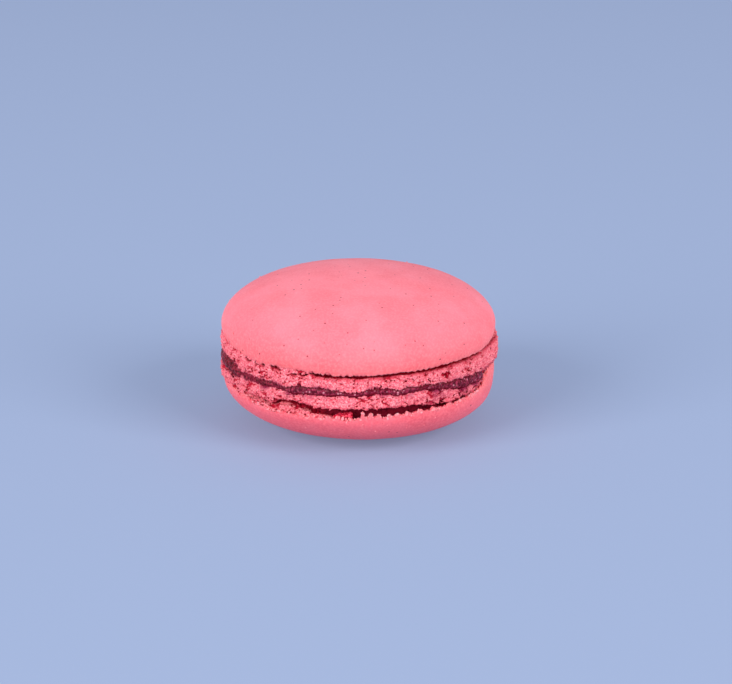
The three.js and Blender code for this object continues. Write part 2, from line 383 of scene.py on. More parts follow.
def warped(add, place, spacing, amount, seed):
    """A place moved about at random, so that what is drawn on it turns irregular."""
    noise = cloud(add, place, spacing, seed, 1.0).outputs["Color"]
    centred = add("ShaderNodeVectorMath", {0: noise, 1: (0.5, 0.5, 0.5)}, operation="SUBTRACT")
    sized = add("ShaderNodeVectorMath", {0: centred, "Scale": amount}, operation="SCALE")
    return add("ShaderNodeVectorMath", {0: place, 1: sized})


def cells(add, place, spacing, seed):
    """Crowded round cells one spacing apart: how far off the nearest middle is, and its colour."""
    shrunk = add("ShaderNodeVectorMath", {0: place, "Scale": 1.0 / spacing}, operation="SCALE")
    moved = add("ShaderNodeVectorMath", {0: shrunk, 1: seed})
    return add("ShaderNodeTexVoronoi", {"Vector": moved, "Scale": 1.0})


def bubbles(add, place, spacing, seed, smallest, largest):
    """Distance outside the nearest of a crowd of bubbles of random sizes."""
    cell = cells(add, place, spacing, seed)
    chance = Field(add("FunctionNodeSeparateColor", {0: cell.outputs["Color"]}))
    return Field(cell) * spacing - smallest.mix(largest, chance)


# ------------------------ foam and jam

def foam_tree():
    """Grows a ring of torn foam, or of jam, in a volume that is unrolled round the macaron.

    In the volume X runs along the edge, Y outwards from the widest radius and Z away from the
    jam. The solid is bounded by the guide's lines, roughened by lumps and grit and opened by
    bubbles. The result is rolled up and closed to the axis.
    """
    add, start, size = start_tree(
        "Torn foam", "radius voxel depth reach lowest highest core_height low_pole high_pole base "
        "side shift crown rounding gap_depth gap_tear gap_sharpness gap_wander warp warp_spacing "
        "lump lump_spacing cleft_spacing cleft_width cleft_depth grit grit_spacing bubble_spacing "
        "bubble_smallest bubble_largest pore_spacing pore_smallest pore_largest pit_depth seed",
        guide="Object", marks="Object", material="Material")
    around = size.radius * (2 * math.pi)
    position = add("GeometryNodeInputPosition")
    along, across, height = map(Field, add("ShaderNodeSeparateXYZ", {0: position}).outputs)
    turn = along / size.radius
    radius = across + size.radius
    east = radius * turn.math("SINE")
    north = -(radius * turn.math("COSINE"))
    place = add("ShaderNodeCombineXYZ", {0: east, 1: north, 2: height})

    shape = add("GeometryNodeObjectInfo", {"Object": start["guide"]}).outputs["Geometry"]
    column = (along / size.voxel).math("ROUND").math("FLOORED_MODULO", float(COLUMNS))
    line = sampler(add, shape, column)

    # The foot stands out past the skin's edge; beyond the edge the foam stays inside the skin.
    bow = (height - line("middle")).math("POWER", 2.0) * size.crown
    foot_face = line("reach") - bow - across
    from_skin = -across - (SKIN + FOAM_PLAY)
    covered = line("rim") + line("cover")
    face = foot_face.mix(from_skin, height.ramp(covered - 0.1, covered + 0.1))
    from_edge = height - line("edge")
    from_ceiling = line("ceiling") - height
    body = face.math("SMOOTH_MIN", from_edge, size.rounding)
    body = body.math("SMOOTH_MIN", from_ceiling, size.rounding)

    tear = lumps(add, place, TEAR_SPACING, size.seed + 3.0, 3.0) * size.gap_tear
    floor = line("gap_high") - from_skin.math("MAXIMUM", 0.0) * line("floor_slope")
    wander = lumps(add, place, WANDER_SPACING, size.seed + 13.0) * size.gap_wander * line("ragged")
    level = height + wander
    gap = (level - line("gap_low")).math("MINIMUM", floor - level) * size.gap_sharpness + tear
    gap = gap.math("SMOOTH_MIN", across + size.gap_depth + tear, 0.3)
    body = body.math("MINIMUM", -gap)

    # Single nubs and dents that are too large for the noise.
    spots = add("GeometryNodeObjectInfo", {"Object": start["marks"]}).outputs["Geometry"]
    nearest = add("GeometryNodeSampleNearest", {"Geometry": spots, "Sample Position": place})
    mark = sampler(add, spots, nearest)
    spot = add("ShaderNodeCombineXYZ", {0: mark("east"), 1: mark("north"), 2: mark("height")})
    away = Field(add("ShaderNodeVectorMath", {0: place, 1: spot}, operation="DISTANCE"))
    unmarked = body
    body = body.math("SMOOTH_MAX", mark("nub") - away, 0.2)
    body = body.math("MINIMUM", away - mark("dent"))

    place = warped(add, place, size.warp_spacing, size.warp, size.seed + 9.0)
    lump = lumps(add, place, size.lump_spacing, size.seed) * size.lump
    grain = -Field(cells(add, place, size.grit_spacing, size.seed + 7.0)) + 0.5
    rough = body + lump + grain * size.grit
    big = bubbles(add, place, size.bubble_spacing, size.seed,
                  size.bubble_smallest, size.bubble_largest)
    big = big - line("porous") * height.ramp(1.4, 2.2)
    small = bubbles(add, place, size.pore_spacing, size.seed + 5.0,
                    size.pore_smallest, size.pore_largest)
    stretched = add("ShaderNodeVectorMath", {0: place, 1: (0.45, 0.45, 1.0)}, operation="MULTIPLY")
    cleft = lumps(add, stretched, size.cleft_spacing, size.seed + 17.0, 3.0)
    rare = lumps(add, place, CLUSTER_SPACING, size.seed + 19.0)
    cleft = cleft.math("ABSOLUTE") * 2.0 + rare * 0.5 - size.cleft_width - line("broken")
    cleft = cleft.math("MAXIMUM", rough - size.cleft_depth)
    torn = rough.math("MINIMUM", big).math("MINIMUM", small).math("MINIMUM", cleft)
    torn = torn.math("MAXIMUM", rough - size.pit_depth)

    # Near the cut faces of the ring the solid is plain, so that it closes cleanly.
    core = height.math("MINIMUM", size.core_height - height)
    from_core = (across + size.depth).ramp(0.1, 0.5)
    from_crust = (height - line("rim")).ramp(0.9, 0.4)
    solid = core.mix(body.mix(torn, from_crust), from_core)

    margin = 4
    end = size.voxel * margin
    low = add("ShaderNodeCombineXYZ", {0: -end, 1: -size.depth, 2: size.lowest})
    high = add("ShaderNodeCombineXYZ", {0: around + end, 1: size.reach, 2: size.highest})
    cube = add("GeometryNodeVolumeCube", {
        "Density": solid, "Background": -1.0, "Min": low, "Max": high,
        "Resolution X": COLUMNS + 2 * margin + 1,
        "Resolution Y": ((size.depth + size.reach) / size.voxel).math("CEIL"),
        "Resolution Z": ((size.highest - size.lowest) / size.voxel).math("CEIL")})
    kept = add("GeometryNodeVolumeToMesh", {"Volume": cube, "Threshold": 0.0, "Adaptivity": 0.0})
    gap_low = line("gap_low")
    # What the finishes read: depth in a pit, depth behind the foot's face and nearness to the crack give
    # painted shade, and the jam's edge gives stains and painted shade
    for label, value in {
        "hollow": unmarked + lump * 0.7,
        "recess": foot_face.math("MAXIMUM", -across - 0.4) - line("pale"),
        "soak": line("soak"),
        "crease": (gap_low - height).math("ABSOLUTE") + (gap_low - line("gap_high")).ramp(-0.3, 0.0),
        "margin": from_edge.math("MINIMUM", from_ceiling),
    }.items():
        kept = add("GeometryNodeStoreNamedAttribute", {0: kept, "Name": label, "Value": value})

    # Cut the ring's walls off, and one turn out of the overlapping length.
    trim = size.voxel * 0.3
    outside = (along.math("LESS_THAN", 0.0) + along.math("GREATER_THAN", around)
               + across.math("LESS_THAN", trim - size.depth)
               + height.math("GREATER_THAN", size.highest - trim))
    kept = add("GeometryNodeDeleteGeometry", {0: kept, "Selection": outside}, domain="FACE")

    # Roll it up, close both rims to the axis, and drop sealed bubbles and loose bits.
    rolled = add("ShaderNodeCombineXYZ", {
        0: east + size.shift, 1: north, 2: height * size.side + size.base})
    kept = add("GeometryNodeSetPosition", {0: kept, "Position": rolled})
    kept = add("GeometryNodeMergeByDistance", {0: kept, "Distance": SAME_POINT})
    open_edge = Field(add("GeometryNodeInputMeshEdgeNeighbors")).math("COMPARE", 1.0, 0.5)
    closing = add("GeometryNodeExtrudeMesh",
                  {0: kept, "Selection": open_edge, "Offset Scale": 0.0}, mode="EDGES")
    own_height = (height - size.base) * size.side
    upper_half = own_height.math("GREATER_THAN", (size.low_pole + size.high_pole) * 0.5)
    pole_height = size.low_pole.mix(size.high_pole, upper_half)
    pole = add("ShaderNodeCombineXYZ", {0: size.shift, 2: pole_height * size.side + size.base})
    kept = add("GeometryNodeSetPosition",
               {0: closing, "Selection": closing.outputs["Top"], "Position": pole})
    kept = add("GeometryNodeMergeByDistance", {0: kept, "Distance": SAME_POINT})
    island = add("GeometryNodeInputMeshIsland")
    crowd = add("GeometryNodeAccumulateField", {"Value": 1.0, "Group ID": island})
    few = Field(crowd.outputs["Total"]).math("LESS_THAN", LOOSE_BIT)
    kept = add("GeometryNodeDeleteGeometry", {0: kept, "Selection": few}, domain="POINT")
    return end_tree(add, start, kept, mirrored=size.side.math("GREATER_THAN", 0.0))


# ------------------------ crusts

def crust_section(radius, equator, core, edge, pole, taper, flat_radius=0.0):
    """Rows of a crust's section: radius, height, and shares of waves, tears and torn colour.

    They run from the axis along the cut plane, round the torn edge and over the dome. Heights
    are above the jam's face. Between the equator and its edge the crust turns in by the taper.
    The torn colour is a deep red painted on the torn edge as shade under the rim.
    """
    inner = radius - taper - SKIN
    wall = edge + SKIN / 2
    rows = [(inner * share, core, 0.0, 0.0, 1.0) for share in (ON_AXIS, 0.5, 0.97)]
    for share in (0.0, 0.35, 0.65, 0.85):
        rows.append((inner, core + (wall - core) * share, share ** 2, share ** 4, 1.0))
    for step in range(EDGE_STEPS):
        turn = math.pi * step / EDGE_STEPS
        rows.append((inner + SKIN / 2 * (1 - math.cos(turn)), wall - SKIN / 2 * math.sin(turn),
                     1.0, 1.0, 1.0 - step / EDGE_STEPS))
    wall_steps = max(2, round((equator - wall) / WALL_STEP))
    for step in range(wall_steps):
        share = step / wall_steps
        rows.append((radius - taper * (1 - share) ** 2, wall + (equator - wall) * share,
                     1 - 0.3 * share, (1 - share) ** 3, 0.0))

    rise = (pole - equator) / math.sqrt(1 - (flat_radius / radius) ** DOME_FULLNESS)
    last = math.asin((flat_radius / radius) ** (DOME_FULLNESS / 2))
    for step in range(DOME_STEPS + 1):
        share = step / DOME_STEPS
        turn = math.pi / 2 + (last - math.pi / 2) * share
        reach = max(ON_AXIS, math.sin(turn) ** (2 / DOME_FULLNESS))
        waves = 0.7 * max(0.0, 1 - 3 * share) ** 2
        rows.append((radius * reach, equator + rise * math.cos(turn), waves, 0.0, 0.0))
    if flat_radius:
        rows += [(flat_radius * share, pole, 0.0, 0.0, 0.0) for share in (0.95, 0.5, 0.01)]
    return np.array(rows)


def crust_tree():
    """Turns a crust's section round the axis, follows the guide's rim and tears its edge."""
    add, start, size = start_tree(
        "Turned crust", "rows base side shift equator shear lean tear tear_spacing wave "
        "wave_spacing dent dent_spacing seed", guide="Object", material="Material")
    last_row = size.rows - 1.0
    tube = add("GeometryNodeMeshCylinder", {"Vertices": SKIN_COLUMNS, "Side Segments": last_row,
                                            "Radius": 1.0, "Depth": 1.0}, fill_type="TRIANGLE_FAN")
    position = add("GeometryNodeInputPosition")
    east, north, level = map(Field, add("ShaderNodeSeparateXYZ", {0: position}).outputs)
    section = sampler(add, start["Geometry"], ((level + 0.5) * last_row).math("ROUND"))
    shape = add("GeometryNodeObjectInfo", {"Object": start["guide"]}).outputs["Geometry"]
    turn = east.math("ARCTAN2", -north) / (2 * math.pi)
    column = (turn * float(COLUMNS)).math("ROUND").math("FLOORED_MODULO", float(COLUMNS))
    line = sampler(add, shape, column)

    radius = section("radius")
    height = section("height") + line("lift") * section("lift_share")
    place = add("ShaderNodeCombineXYZ", {0: east * radius, 1: north * radius, 2: height})
    tear = lumps(add, place, size.tear_spacing, size.seed, 3.0) * size.tear * line("ragged")
    wave = lumps(add, place, size.wave_spacing, size.seed + 1.0) * size.wave
    dent = lumps(add, place, size.dent_spacing, size.seed + 2.0) * size.dent
    swell = (wave + dent) * section("dome_share")
    out = (radius / section("widest")).math("POWER", 4.0)
    radius = radius + swell * out
    height = height + tear * section("tear_share") + swell * (-out + 1.0)
    beyond = (height - size.equator).math("MAXIMUM", 0.0)
    height = height + east * radius * size.lean * beyond.ramp(0.0, 3.0)
    turned = add("ShaderNodeCombineXYZ", {0: east * radius + size.shift + beyond * size.shear,
                                          1: north * radius, 2: height * size.side + size.base})
    # The torn share, which the crust finish paints deep red as shade under the rim
    kept = add("GeometryNodeStoreNamedAttribute",
               {0: tube, "Name": "torn", "Value": section("torn")})
    moved = add("GeometryNodeSetPosition", {0: kept, "Position": turned})
    return end_tree(add, start, moved, mirrored=size.side.math("LESS_THAN", 0.0))


# ------------------------ crumbs and jelly

def crumb_tree():
    """Puts a small irregular crumb on each point of a cloud that holds their radii."""
    add, start, size = start_tree("Loose crumbs", "rough spacing seed", material="Material")
    ball = add("GeometryNodeMeshIcoSphere", {"Radius": 1.0, "Subdivisions": 2})
    turn, stretch = (
        add("FunctionNodeRandomValue", {0: lowest, 1: highest, "Seed": size.seed},
            data_type="FLOAT_VECTOR")
        for lowest, highest in (((0.0, 0.0, 0.0), (6.28, 6.28, 6.28)),
                                ((0.6, 0.7, 0.6), (1.5, 1.2, 1.1))))
    girth = add("GeometryNodeInputNamedAttribute", {"Name": "girth"})
    scale = add("ShaderNodeVectorMath", {0: stretch, "Scale": girth}, operation="SCALE")
    points = add("GeometryNodeMeshToPoints", {0: start["Geometry"]})
    put_down = add("GeometryNodeInstanceOnPoints",
                   {0: points, "Instance": ball, "Rotation": turn, "Scale": scale})
    return roughened(add, start, size, add("GeometryNodeRealizeInstances", {0: put_down}))


def jelly_tree():
    """Melts a crowd of drops, a cloud of points that holds their radii, into one lump."""
    add, start, size = start_tree("Melted drops", "rough spacing voxel", material="Material")
    girth = add("GeometryNodeInputNamedAttribute", {"Name": "girth"})
    points = add("GeometryNodeMeshToPoints", {0: start["Geometry"]})
    volume = add("GeometryNodePointsToVolume", {0: points, "Voxel Size": size.voxel,
                                                "Radius": girth}, resolution_mode="VOXEL_SIZE")
    return roughened(add, start, size, add("GeometryNodeVolumeToMesh",
                                           {"Volume": volume, "Threshold": 0.1}))


def roughened(add, start, size, geometry):
    """Pushes a surface in and out at random and ends its tree."""
    push = lumps(add, add("GeometryNodeInputPosition"), size.spacing, 4.0) * size.rough
    offset = add("ShaderNodeVectorMath", {0: add("GeometryNodeInputNormal"), "Scale": push},
                 operation="SCALE")
    return end_tree(add, start, add("GeometryNodeSetPosition", {0: geometry, "Offset": offset}))


# ------------------------ finishes

def linear(hex_colour):
    """A linear RGBA colour from its sRGB hex value."""
    channels = [int(hex_colour[at:at + 2], 16) / 255 for at in (1, 3, 5)]
    return (*[c / 12.92 if c <= 0.04045 else ((c + 0.055) / 1.055) ** 2.4 for c in channels], 1.0)


def per_mm(size):
    """Scale of a pattern on Object coordinates that repeats every so many millimetres."""
    return 1 / (size * MM)


def start_finish(name):
    """An empty material, what adds a node to its tree, and the Object coordinates."""
    material = bpy.data.materials.new(name)
    material.use_nodes = True
    material.node_tree.nodes.clear()
    add = partial(add_node, material.node_tree)
    return material, add, add("ShaderNodeTexCoord").outputs["Object"]


def end_finish(add, **looks):
    """Ends a material with a Principled shader. An underscore stands for a space in a name."""
    inputs = {name.replace("_", " "): value for name, value in looks.items()}
    add("ShaderNodeOutputMaterial", {"Surface": add("ShaderNodeBsdfPrincipled", inputs)})


def painted(add, ground, *layers):
    """Colours laid over a ground: rows of share, colour and, if it isn't laid plainly, blend."""
    for share, colour, *blend in layers:
        below, above = (linear(tone) if isinstance(tone, str) else tone for tone in (ground, colour))
        ground = add("ShaderNodeMix", {"Factor": share, "A": below, "B": above},
                     data_type="RGBA", blend_type=blend[0] if blend else "MIX")
    return ground


def almond_meringue_crust():
    """Piped almond meringue, dyed pink and baked until its skin dried.

    It gives the eye an even, chalky pink without gloss, a fine grain from the ground almonds,
    soft clouds where the skin is thinner, and a few dark specks of almond skin. Shade is also
    painted into the colour: darker down the upper dome towards its rim and below it, under the
    lower lip and towards the bottom with a purple cast, and a deep red on the torn edge.
    """
    material, add, place = start_finish("almond_meringue_crust")
    height = Field(add("ShaderNodeSeparateXYZ", {0: place}).outputs["Z"]) / MM
    torn = Field(add("ShaderNodeAttribute", attribute_name="torn").outputs["Fac"])
    thin, grain = (Field(add("ShaderNodeTexNoise",
                             {"Vector": place, "Scale": per_mm(width), "Detail": 3.0}))
                   for width in (7.0, 0.36))
    coarse = height.ramp(20.0, 15.5) * 0.5 + 0.4
    # Painted shade on the lower crust just under its lip
    shade_under_lip = height.ramp(8.6, 7.4) * height.ramp(3.8, 6.6)
    open_side = height.ramp(9.6, 8.6) + height.ramp(13.0, 14.0)
    skin_bit, dust = (add("ShaderNodeTexVoronoi", {"Vector": place, "Scale": per_mm(width)})
                      for width in (1.3, 0.5))
    bit_chance, dust_chance = (Field(add("ShaderNodeSeparateColor", {0: cell.outputs["Color"]}))
                               for cell in (skin_bit, dust))
    widest = bit_chance.ramp(0.1, 1.0) * 0.15
    speck = Field(skin_bit).ramp(widest, widest * 0.6)
    dot = Field(dust).ramp(0.22, 0.1) * dust_chance.ramp(0.7, 1.0)
    # Over the meringue's own colours, painted shade: the three multiplies darken it down the upper dome and
    # below, under the lip and towards the bottom, and the deep red lies on the torn edge under the rim
    colour = painted(add, "#F0727E",
                     (thin.ramp(0.35, 0.65), "#F57E8A"),
                     (grain.ramp(0.35, 0.75) * coarse, "#FF9098"),
                     (height.ramp(21.0, 14.5), "#FAE2DA", "MULTIPLY"),
                     (shade_under_lip, "#F4EEF9", "MULTIPLY"),
                     (height.ramp(9.0, 1.0), "#FCD8F0", "MULTIPLY"),
                     (torn.ramp(0.2, 0.7) * open_side * 0.8, "#D8304A"),
                     (dot * 0.4, "#C04A5A"),
                     (speck * 0.85, "#8A2A36"))
    relief = add("ShaderNodeBump", {"Height": grain, "Strength": 0.35, "Distance": 0.06 * MM})
    end_finish(add, Base_Color=colour, Normal=relief, Roughness=0.75, Specular_IOR_Level=0.08,
               Subsurface_Weight=0.6, Subsurface_Radius=(1.0, 0.5, 0.45),
               Subsurface_Scale=0.8 * MM, Sheen_Weight=0.03, Sheen_Roughness=0.5,
               Sheen_Tint=linear("#FFC8D0"))
    return material


def meringue_crumbs():
    """Loose bits of the same meringue.

    They give the eye dry, pale points, because they are thin and the light goes right through.
    """
    material, add, place = start_finish("meringue_crumbs")
    grain = Field(add("ShaderNodeTexNoise",
                      {"Vector": place, "Scale": per_mm(0.5), "Detail": 2.0}))
    end_finish(add, Base_Color=painted(add, "#F27680", (grain.ramp(0.35, 0.7), "#FF9CA0")),
               Roughness=0.85, Specular_IOR_Level=0.1, Subsurface_Weight=0.5,
               Subsurface_Radius=(1.0, 0.3, 0.25), Subsurface_Scale=0.4 * MM)
    return material


def torn_meringue_foam():
    """The inside of the same meringue, risen and torn open in the oven.

    It gives the eye pale crumb tops, pits painted a deeper red as their shade and the light that
    bounces between their walls, painted darkness in the deep cracks and a painted shade beside the
    crack, and jam soaked into the edge beside the filling, with a thin painted shade along it.
    """
    material, add, place = start_finish("torn_meringue_foam")
    height = Field(add("ShaderNodeSeparateXYZ", {0: place}).outputs["Z"]) / MM
    hollow, recess, margin, soak, crease = (
        Field(add("ShaderNodeAttribute", attribute_name=name).outputs["Fac"])
        for name in ("hollow", "recess", "margin", "soak", "crease"))
    grain, patch = (Field(add("ShaderNodeTexNoise",
                              {"Vector": place, "Scale": per_mm(width), "Detail": 2.0}))
                    for width in (0.24, 1.6))
    # Jam stains in patches along the jam and on the soaked stretches, and a thin painted shade right along
    # the jam's edge
    wet = (margin.ramp(0.8, 0.0) + soak) * patch.ramp(0.38, 0.68) + margin.ramp(0.3, 0.0) * 0.5
    # Painted shade colour for the crack and the gap
    inside = painted(add, "#A01428", (height.ramp(10.0, 13.0), "#A00C1E"))
    # Over the crumb's own colours: the pits, the foam beside the crack and the foam behind the foot's face
    # get painted shade, darkest deepest
    colour = painted(add, "#DE5A6A",
                     (grain.ramp(0.35, 0.7), "#FB969C"),
                     (hollow.ramp(-0.06, 0.38), "#B4162E"),
                     (crease.ramp(0.6, 0.0) * patch.ramp(0.2, 0.5) * 0.7, "#BC3044"),
                     (wet * 0.65, "#962E4A"),
                     (recess.ramp(0.35, 1.0), inside),
                     (recess.ramp(1.1, 2.0), "#7C1428"))
    relief = add("ShaderNodeBump", {"Height": grain, "Strength": 0.8, "Distance": 0.1 * MM})
    end_finish(add, Base_Color=colour, Normal=relief, Roughness=0.85, Specular_IOR_Level=0.0)
    return material


def raspberry_jam():
    """Raspberry jam boiled down until it holds its shape.

    It gives the eye a dark wine red, a wet surface broken up by seeds and pulp, and small
    greyish glints. Some light is painted in: the pale seed dots also stand for glints, its edges
    beside the feet are painted dark as shade, and a bluish patch is a painted reflection.
    """
    material, add, place = start_finish("raspberry_jam")
    margin, soak = (Field(add("ShaderNodeAttribute", attribute_name=name).outputs["Fac"])
                    for name in ("margin", "soak"))
    pulp = Field(add("ShaderNodeTexNoise",
                     {"Vector": place, "Scale": per_mm(0.42), "Detail": 3.0}))
    seed = add("ShaderNodeTexVoronoi", {"Vector": place, "Scale": per_mm(0.45)})
    chance = Field(add("ShaderNodeSeparateColor", {0: seed.outputs["Color"]}))
    # Pale dots: partly the seeds, partly a painted highlight for glints
    pale = Field(seed).ramp(0.5, 0.2) * chance.ramp(0.66, 0.9)
    # Dark red painted along the jam's edges as shade under the feet, paler where the jam is browner
    rim = painted(add, "#5E0014", (soak.ramp(0.0, 0.6), "#7C162C"))
    colour = painted(add, "#520A1C",
                     (pulp.ramp(0.4, 0.7), "#A0304A"),
                     (pale * soak.ramp(0.7, 0.0) * 0.75, "#DC8C9A"),
                     # Browner stretches, and below zero a painted bluish reflection
                     (soak.ramp(0.0, 1.0), "#F0DCC0", "MULTIPLY"),
                     (soak.ramp(0.0, -1.0) * 0.7, "#3C2440"),
                     (margin.ramp(0.62, 0.3), rim))
    relief = add("ShaderNodeBump", {"Height": pulp, "Strength": 0.8, "Distance": 0.12 * MM})
    end_finish(add, Base_Color=colour, Normal=relief, Roughness=0.3, Specular_IOR_Level=0.14,
               IOR=1.4)
    return material


def raspberry_jelly():
    """Clear raspberry jelly, without pulp.

    It gives the eye a bright, saturated red that light shines through, and wet glints.
    """
    material, add, place = start_finish("raspberry_jelly")
    blot = Field(add("ShaderNodeTexNoise",
                     {"Vector": place, "Scale": per_mm(0.35), "Detail": 2.0}))
    end_finish(add, Base_Color=painted(add, "#B40828", (blot.ramp(0.4, 0.65), "#E4405C")),
               Roughness=0.25, IOR=1.4, Subsurface_Weight=0.5,
               Subsurface_Radius=(1.0, 0.15, 0.15), Subsurface_Scale=0.8 * MM)
    return material


def matt_floor():
    """A frosted table top, lit a little from below as on a light table.

    It gives the eye a plain blue ground whose shadows stay pale. The light from below is
    painted: the top itself gives off a glow, and no lamp is under it.
    """
    material, add, _ = start_finish("matt_floor")
    # The emission is a painted glow that keeps the shadows pale
    end_finish(add, Base_Color=linear("#8694AD"), Emission_Color=linear("#5E677F"),
               Emission_Strength=1.0, Roughness=0.9, Specular_IOR_Level=0.1)
    return material


# ------------------------ shells and filling

# Lines of a guide where its piece has no such feature
FLAT_LINES = dict(ceiling=FAR, rim=FAR, gap_low=FAR, gap_high=FAR - 1, floor_slope=0.0, porous=0.0,
                  ragged=0.0, cover=0.0, soak=0.0, broken=0.0, pale=0.0)
FOAM = dict(crown=0.06, rounding=0.25, gap_tear=0.6, cleft_spacing=1.0, cleft_width=0.015,
            cleft_depth=0.35, warp=0.35, warp_spacing=0.7, lump=0.7, lump_spacing=0.9, grit=0.4,
            grit_spacing=0.28, bubble_spacing=0.9, bubble_smallest=-0.3, bubble_largest=0.28,
            pore_spacing=0.36, pore_smallest=-0.06, pore_largest=0.16, pit_depth=0.7, reach=1.1,
            core_height=FAR)
JAM = dict(crown=0.45, rounding=0.3, gap_sharpness=1.0, cleft_spacing=1.0, cleft_width=NOTHING,
           warp=0.3, warp_spacing=0.7, lump=0.45, lump_spacing=0.9, grit=0.3, grit_spacing=0.5,
           bubble_spacing=1.0, bubble_smallest=-1.0, bubble_largest=-1.0, pore_spacing=1.0,
           pore_smallest=-1.0, pore_largest=-1.0, pit_depth=0.6, reach=1.0,
           core_height=JAM_THICKNESS, high_pole=JAM_THICKNESS)
CRUST = dict(tear_spacing=0.5, wave=0.2, wave_spacing=9.0, dent=0.08, dent_spacing=2.5)


def heights(points, side, base, offset=0.0):
    """A closed line of heights above the floor, turned into heights above the jam's face."""
    return (closed_line(points) + offset - base) * side


def guide(name, **lines):
    """A hidden ring of points, one for each column, that holds sizes read round the macaron."""
    turns = np.arange(COLUMNS) * 2 * math.pi / COLUMNS
    ring = np.stack([np.sin(turns), -np.cos(turns), np.zeros(COLUMNS)], 1)
    return put(name, point_mesh(name, ring, **{**FLAT_LINES, **lines}))


def shell_guide(name, edge, rim, gap_low, **lines):
    """A guide of a shell's foot between its edge on the jam and its crust."""
    return guide(name, edge=edge, rim=rim, gap_low=gap_low, lift=rim - rim.mean(),
                 middle=(edge + np.minimum(gap_low, rim)) / 2, **lines)


def marks(name, radius, side, base, nubs=(), dents=()):
    """A hidden cloud of points that holds the places and radii of single nubs and dents."""
    rows = [(*mark, NOTHING) for mark in nubs]
    rows += [(*mark[:3], NOTHING, mark[3]) for mark in dents]
    angle, height, out, nub, dent = np.array(rows or [(0, 0, 0, NOTHING, NOTHING)], float).T
    turn = np.radians(angle)
    east = (radius + out) * np.sin(turn)
    north = -(radius + out) * np.cos(turn)
    level = (height - base) * side
    return put(name, point_mesh(name, np.stack([east, north, level], 1), east=east, north=north,
                                height=level, nub=nub, dent=dent))


def make_foam(name, lines, spots, material, radius, **sizes):
    """A ring of foam or jam that fills the room between a guide's lines."""
    sizes = {"high_pole": sizes["highest"], **sizes}
    return grow(name, point_mesh(name, [(0, 0, 0)]), foam, guide=lines, marks=spots,
                material=material, radius=radius, voxel=2 * math.pi * radius / COLUMNS, **sizes)


def make_crust(name, lines, radius, section, **sizes):
    """A crust that is turned from its section and torn along a guide's rim."""
    rows = dict(zip(("radius", "height", "lift_share", "tear_share", "torn"), section.T))
    mesh = point_mesh(name, np.zeros((len(section), 3)), **rows, widest=radius,
                      dome_share=1.0 - rows["tear_share"])
    return grow(name, mesh, crust, guide=lines, material=crust_finish, rows=float(len(section)),
                **sizes, **CRUST)


crust_finish = almond_meringue_crust()
foam_finish = torn_meringue_foam()
foam = foam_tree()
crust = crust_tree()

upper_rim = heights(UPPER_RIM, 1, JAM_TOP)
crack_top = upper_rim - closed_line(CRACK_DROP)
upper_lines = shell_guide("upper_lines", heights(UPPER_EDGE, 1, JAM_TOP), upper_rim,
                          crack_top - closed_line(UPPER_CRACK), gap_high=crack_top,
                          reach=closed_line(UPPER_REACH), ragged=closed_line(RAGGED),
                          cover=closed_line(UPPER_COVER), broken=closed_line(UPPER_BROKEN))
lower_lip = heights(LOWER_LIP, -1, JAM_BOTTOM, -LIP_LOWERED) - bumps(LIP_TEETH)
lower_lines = shell_guide("lower_lines", heights(LOWER_EDGE, -1, JAM_BOTTOM), lower_lip,
                          heights(GAP_TOP, -1, JAM_BOTTOM),
                          gap_high=heights(GAP_FLOOR, -1, JAM_BOTTOM),
                          reach=closed_line(LOWER_REACH), floor_slope=closed_line(FLOOR_SLOPE),
                          porous=bumps(SPONGY), ragged=1.0, cover=0.05, soak=bumps(SOAKED),
                          broken=closed_line(LOWER_BROKEN), pale=closed_line(PALE_LEDGE))
jam_edge = heights(LOWER_EDGE, 1, JAM_BOTTOM, -JAM_OVERLAP)
jam_ceiling = heights(UPPER_EDGE, 1, JAM_BOTTOM, JAM_OVERLAP)
jam_lines = guide("jam_lines", edge=jam_edge, ceiling=jam_ceiling, reach=closed_line(JAM_REACH),
                  middle=(jam_edge + jam_ceiling) / 2, soak=bumps(JAM_BROWN_AND_SHEEN))
upper_marks = marks("upper_marks", UPPER_RADIUS, 1, JAM_TOP, UPPER_NUBS, UPPER_DENTS)
lower_marks = marks("lower_marks", LOWER_RADIUS, -1, JAM_BOTTOM, LOWER_NUBS, LOWER_DENTS)
no_marks = marks("no_marks", 1.0, 1, 0.0)

upper_foot = make_foam("upper_foot", upper_lines, upper_marks, foam_finish, UPPER_RADIUS,
                       base=JAM_TOP, side=1.0, depth=2.5, lowest=-1.2,
                       highest=UPPER_CORE - JAM_TOP, gap_depth=2.0, gap_sharpness=2.2,
                       gap_wander=0.5, seed=3.0, **FOAM)
lower_foot = make_foam("lower_foot", lower_lines, lower_marks, foam_finish, LOWER_RADIUS,
                       base=JAM_BOTTOM, side=-1.0, shift=LOWER_SHIFT, depth=3.3, lowest=-0.6,
                       highest=JAM_BOTTOM - LOWER_CORE, gap_depth=2.6, gap_sharpness=1.3,
                       gap_wander=0.3, seed=11.0, **FOAM)
jam = make_foam("jam", jam_lines, no_marks, raspberry_jam(), UPPER_RADIUS, base=JAM_BOTTOM,
                side=1.0, depth=1.8, lowest=-1.9, highest=2.3, seed=23.0, **JAM)

